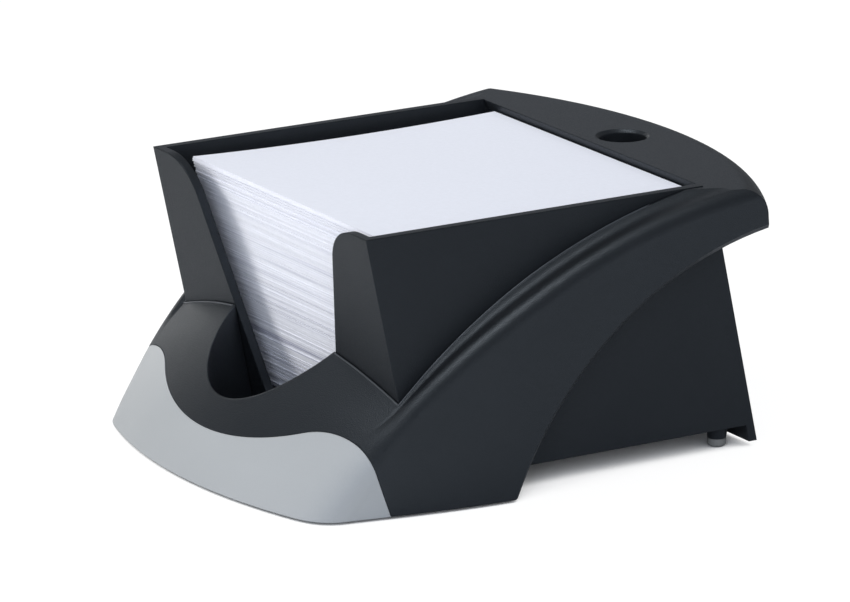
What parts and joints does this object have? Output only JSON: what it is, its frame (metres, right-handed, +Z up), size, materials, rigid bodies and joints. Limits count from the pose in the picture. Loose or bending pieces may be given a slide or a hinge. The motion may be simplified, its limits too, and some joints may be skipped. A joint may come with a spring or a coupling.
{
  "type": "memo box",
  "caption": "Desk memo box: raked paper box under an arched moulded cover with a domed apron, finger scoop, front trim strip and a pen hole in the rear deck.",
  "frame": {"origin": "middle of the footprint at table height", "axes": "+X to the right seen from the front, -Y to the front, +Z up"},
  "size_m": [0.123, 0.1508, 0.0702],
  "materials": {
    "charcoal_plastic": "fine matt grain",
    "grey_plastic": "satin",
    "foot_rubber": "matt",
    "paper": "uncoated white paper"
  },
  "bodies": {
    "base": {"paper_box": "charcoal_plastic", "arch_cover": "charcoal_plastic", "front_trim": "grey_plastic", "foot_tip_front_left": "foot_rubber", "foot_tip_front_right": "foot_rubber", "foot_tip_rear_left": "foot_rubber", "foot_tip_rear_right": "foot_rubber"},
    "pile": {"note_stack": "paper"},
    "loose": {"top_sheets": "paper"}
  },
  "joints": [
    {"name": "pile_lift", "type": "slide", "parent": "base", "child": "pile", "axis": [0, -0.2113, 0.9774], "range_m": [0, 0.0625]},
    {"name": "loose_lift", "type": "slide", "parent": "pile", "child": "loose", "axis": [0, -0.2113, 0.9774], "range_m": [0, 0.05]}
  ]
}
